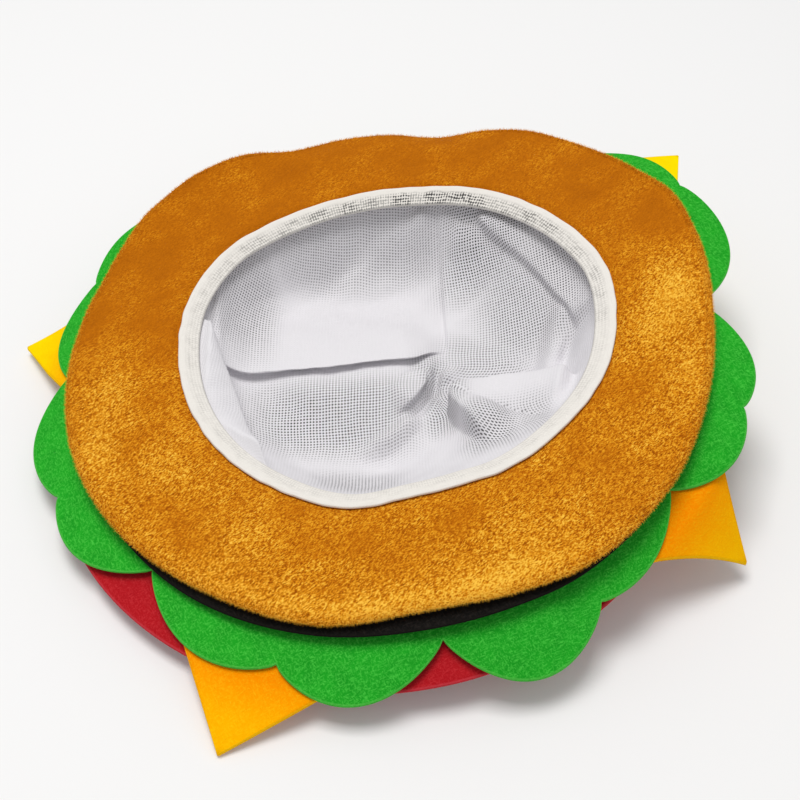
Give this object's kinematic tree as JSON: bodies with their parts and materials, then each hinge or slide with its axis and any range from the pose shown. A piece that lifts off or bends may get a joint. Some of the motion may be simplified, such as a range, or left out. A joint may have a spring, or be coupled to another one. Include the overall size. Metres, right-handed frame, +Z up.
{
  "type": "hamburger hat",
  "caption": "Soft costume hat shaped like a hamburger, lying upside down with its lined head opening up, plush buns and loose felt fillings round it.",
  "frame": {"origin": "middle of the hat's footprint on the surface that it lies on, which is the plane z = 0", "axes": "+Z up through the head opening, -Y towards the side that the picture is taken from, +X to the right in the picture"},
  "size_m": [0.3101, 0.3248, 0.0687],
  "materials": {
    "bun_plush": "golden brown short-pile plush with soft sheen",
    "patty_felt": "dark brown felt, matt",
    "lettuce_felt": "bright green felt, matt",
    "cheese_felt": "yellow-orange felt, matt",
    "tomato_felt": "red felt, matt",
    "binding_tape": "off-white woven tape, matt",
    "lining_cloth": "thin white non-woven cloth with a fine dot pattern"
  },
  "bodies": {
    "root": {"crown": "bun_plush", "bottom_bun": "bun_plush", "patty": "patty_felt", "lettuce": "lettuce_felt", "cheese_1": "cheese_felt", "cheese_2": "cheese_felt", "cheese_3": "cheese_felt", "cheese_4": "cheese_felt", "cheese_5": "cheese_felt", "tomato": "tomato_felt", "binding": "binding_tape", "lining": "lining_cloth"}
  },
  "joints": []
}
